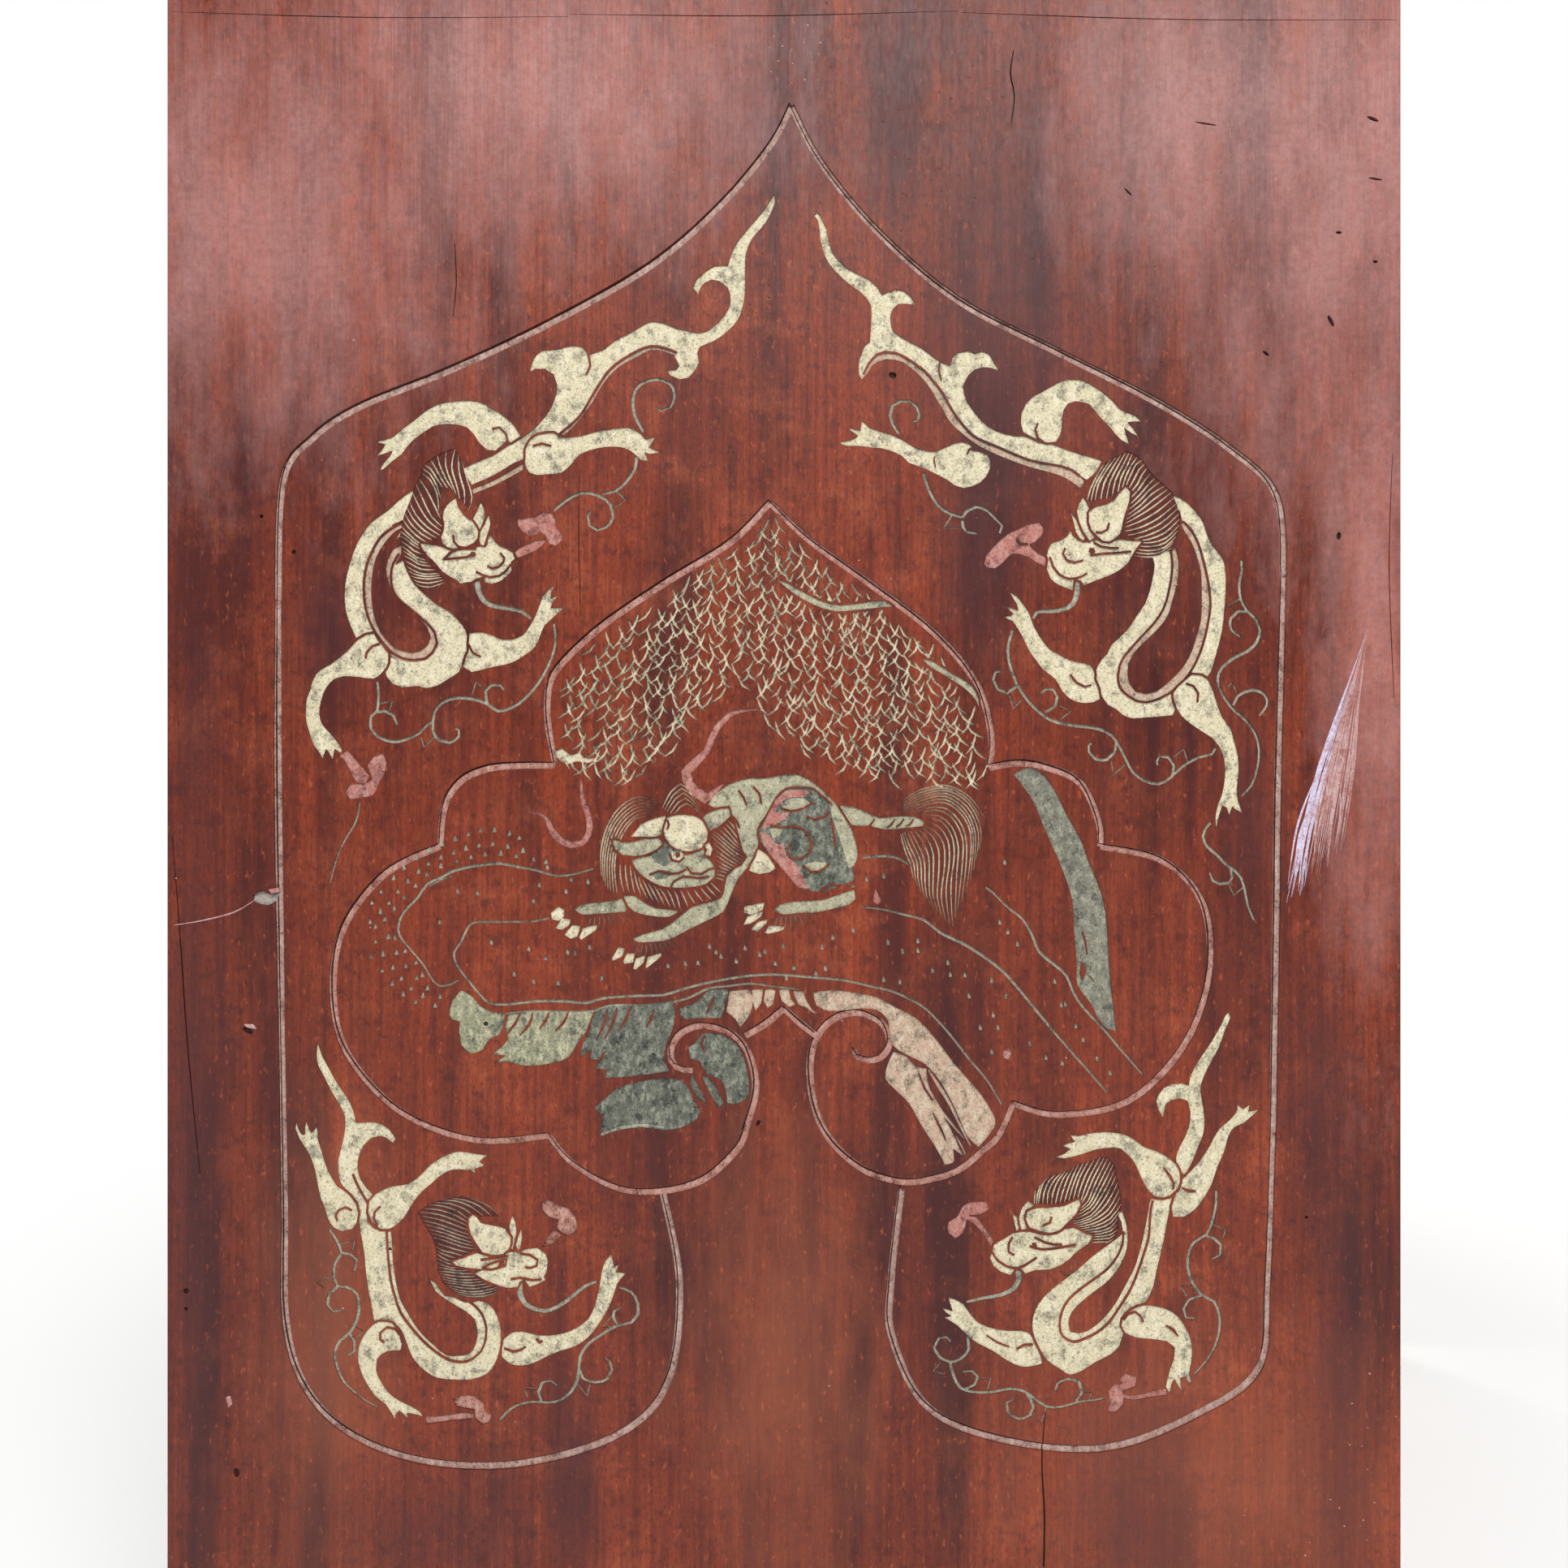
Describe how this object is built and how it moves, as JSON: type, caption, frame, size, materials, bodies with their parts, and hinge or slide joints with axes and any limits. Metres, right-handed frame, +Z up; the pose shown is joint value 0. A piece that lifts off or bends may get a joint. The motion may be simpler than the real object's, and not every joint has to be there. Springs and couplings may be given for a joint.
{
  "type": "folding screen",
  "caption": "Free-standing folding screen of tall incised lacquer leaves on brass-shod feet, joined edge to edge by brass butt hinges and standing in a zigzag.",
  "frame": {"origin": "on the floor, under the middle of the bounding box of the screen as it stands in its zigzag", "axes": "+Z up; +X from the left end leaf to the right one, seen from the carved fronts; +Y from the fronts to the backs"},
  "size_m": [0.964, 0.4162, 1.9],
  "materials": {
    "front_lacquer": "aged red-brown incised lacquer, satin",
    "back_lacquer": "aged plain dark lacquer, satin",
    "edge_lacquer": "worn dark lacquer, satin",
    "pigment": "chalky mineral pigment in the incised lines, matte",
    "board_wood": "planed softwood, unfinished",
    "batten_wood": "planed softwood, unfinished",
    "bamboo": "split bamboo, unfinished",
    "shoe_brass": "aged brass, brown in the hollows",
    "hinge_brass": "aged brass, rubbed bright on the barrel",
    "pin_brass": "aged brass, rubbed",
    "nail_brass": "aged brass, rubbed on the domes"
  },
  "bodies": {
    "leaf_1": {"leaf_1_left_board": "board_wood", "leaf_1_middle_board": "board_wood", "leaf_1_right_board": "board_wood", "leaf_1_top_cap": "board_wood", "leaf_1_back_battens": "batten_wood", "leaf_1_bamboo_pins": "bamboo", "leaf_1_edge_coat": "edge_lacquer", "leaf_1_front_coat": "front_lacquer", "leaf_1_back_coat": "back_lacquer", "leaf_1_line_inlay": "pigment", "leaf_1_shoes": "shoe_brass", "leaf_1_brass_nails": "nail_brass", "hinge_1_2_left_plates": "hinge_brass", "hinge_1_2_pins": "pin_brass"},
    "leaf_2": {"leaf_2_left_board": "board_wood", "leaf_2_middle_board": "board_wood", "leaf_2_right_board": "board_wood", "leaf_2_top_cap": "board_wood", "leaf_2_back_battens": "batten_wood", "leaf_2_bamboo_pins": "bamboo", "leaf_2_edge_coat": "edge_lacquer", "leaf_2_front_coat": "front_lacquer", "leaf_2_back_coat": "back_lacquer", "leaf_2_line_inlay": "pigment", "leaf_2_shoes": "shoe_brass", "leaf_2_brass_nails": "nail_brass", "hinge_2_3_left_plates": "hinge_brass", "hinge_2_3_pins": "pin_brass", "hinge_1_2_right_plates": "hinge_brass"},
    "leaf_3": {"leaf_3_left_board": "board_wood", "leaf_3_middle_board": "board_wood", "leaf_3_right_board": "board_wood", "leaf_3_top_cap": "board_wood", "leaf_3_back_battens": "batten_wood", "leaf_3_bamboo_pins": "bamboo", "leaf_3_edge_coat": "edge_lacquer", "leaf_3_front_coat": "front_lacquer", "leaf_3_back_coat": "back_lacquer", "leaf_3_line_inlay": "pigment", "leaf_3_shoes": "shoe_brass", "leaf_3_brass_nails": "nail_brass", "hinge_3_4_left_plates": "hinge_brass", "hinge_3_4_pins": "pin_brass", "hinge_2_3_right_plates": "hinge_brass"},
    "leaf_4": {"leaf_4_left_board": "board_wood", "leaf_4_middle_board": "board_wood", "leaf_4_right_board": "board_wood", "leaf_4_top_cap": "board_wood", "leaf_4_back_battens": "batten_wood", "leaf_4_bamboo_pins": "bamboo", "leaf_4_edge_coat": "edge_lacquer", "leaf_4_front_coat": "front_lacquer", "leaf_4_back_coat": "back_lacquer", "leaf_4_line_inlay": "pigment", "leaf_4_shoes": "shoe_brass", "leaf_4_brass_nails": "nail_brass", "hinge_3_4_right_plates": "hinge_brass"}
  },
  "joints": [
    {"name": "hinge_line_1_2", "type": "hinge", "parent": "leaf_1", "child": "leaf_2", "pos_m": [-0.24244, -0.19604, 0], "axis": [0, 0, -1], "range_deg": [-56, 124]},
    {"name": "hinge_line_2_3", "type": "hinge", "parent": "leaf_2", "child": "leaf_3", "pos_m": [0, 0.19604, 0], "axis": [0, 0, 1], "range_deg": [-56, 124]},
    {"name": "hinge_line_3_4", "type": "hinge", "parent": "leaf_3", "child": "leaf_4", "pos_m": [0.24244, -0.19604, 0], "axis": [0, 0, -1], "range_deg": [-56, 124]}
  ]
}
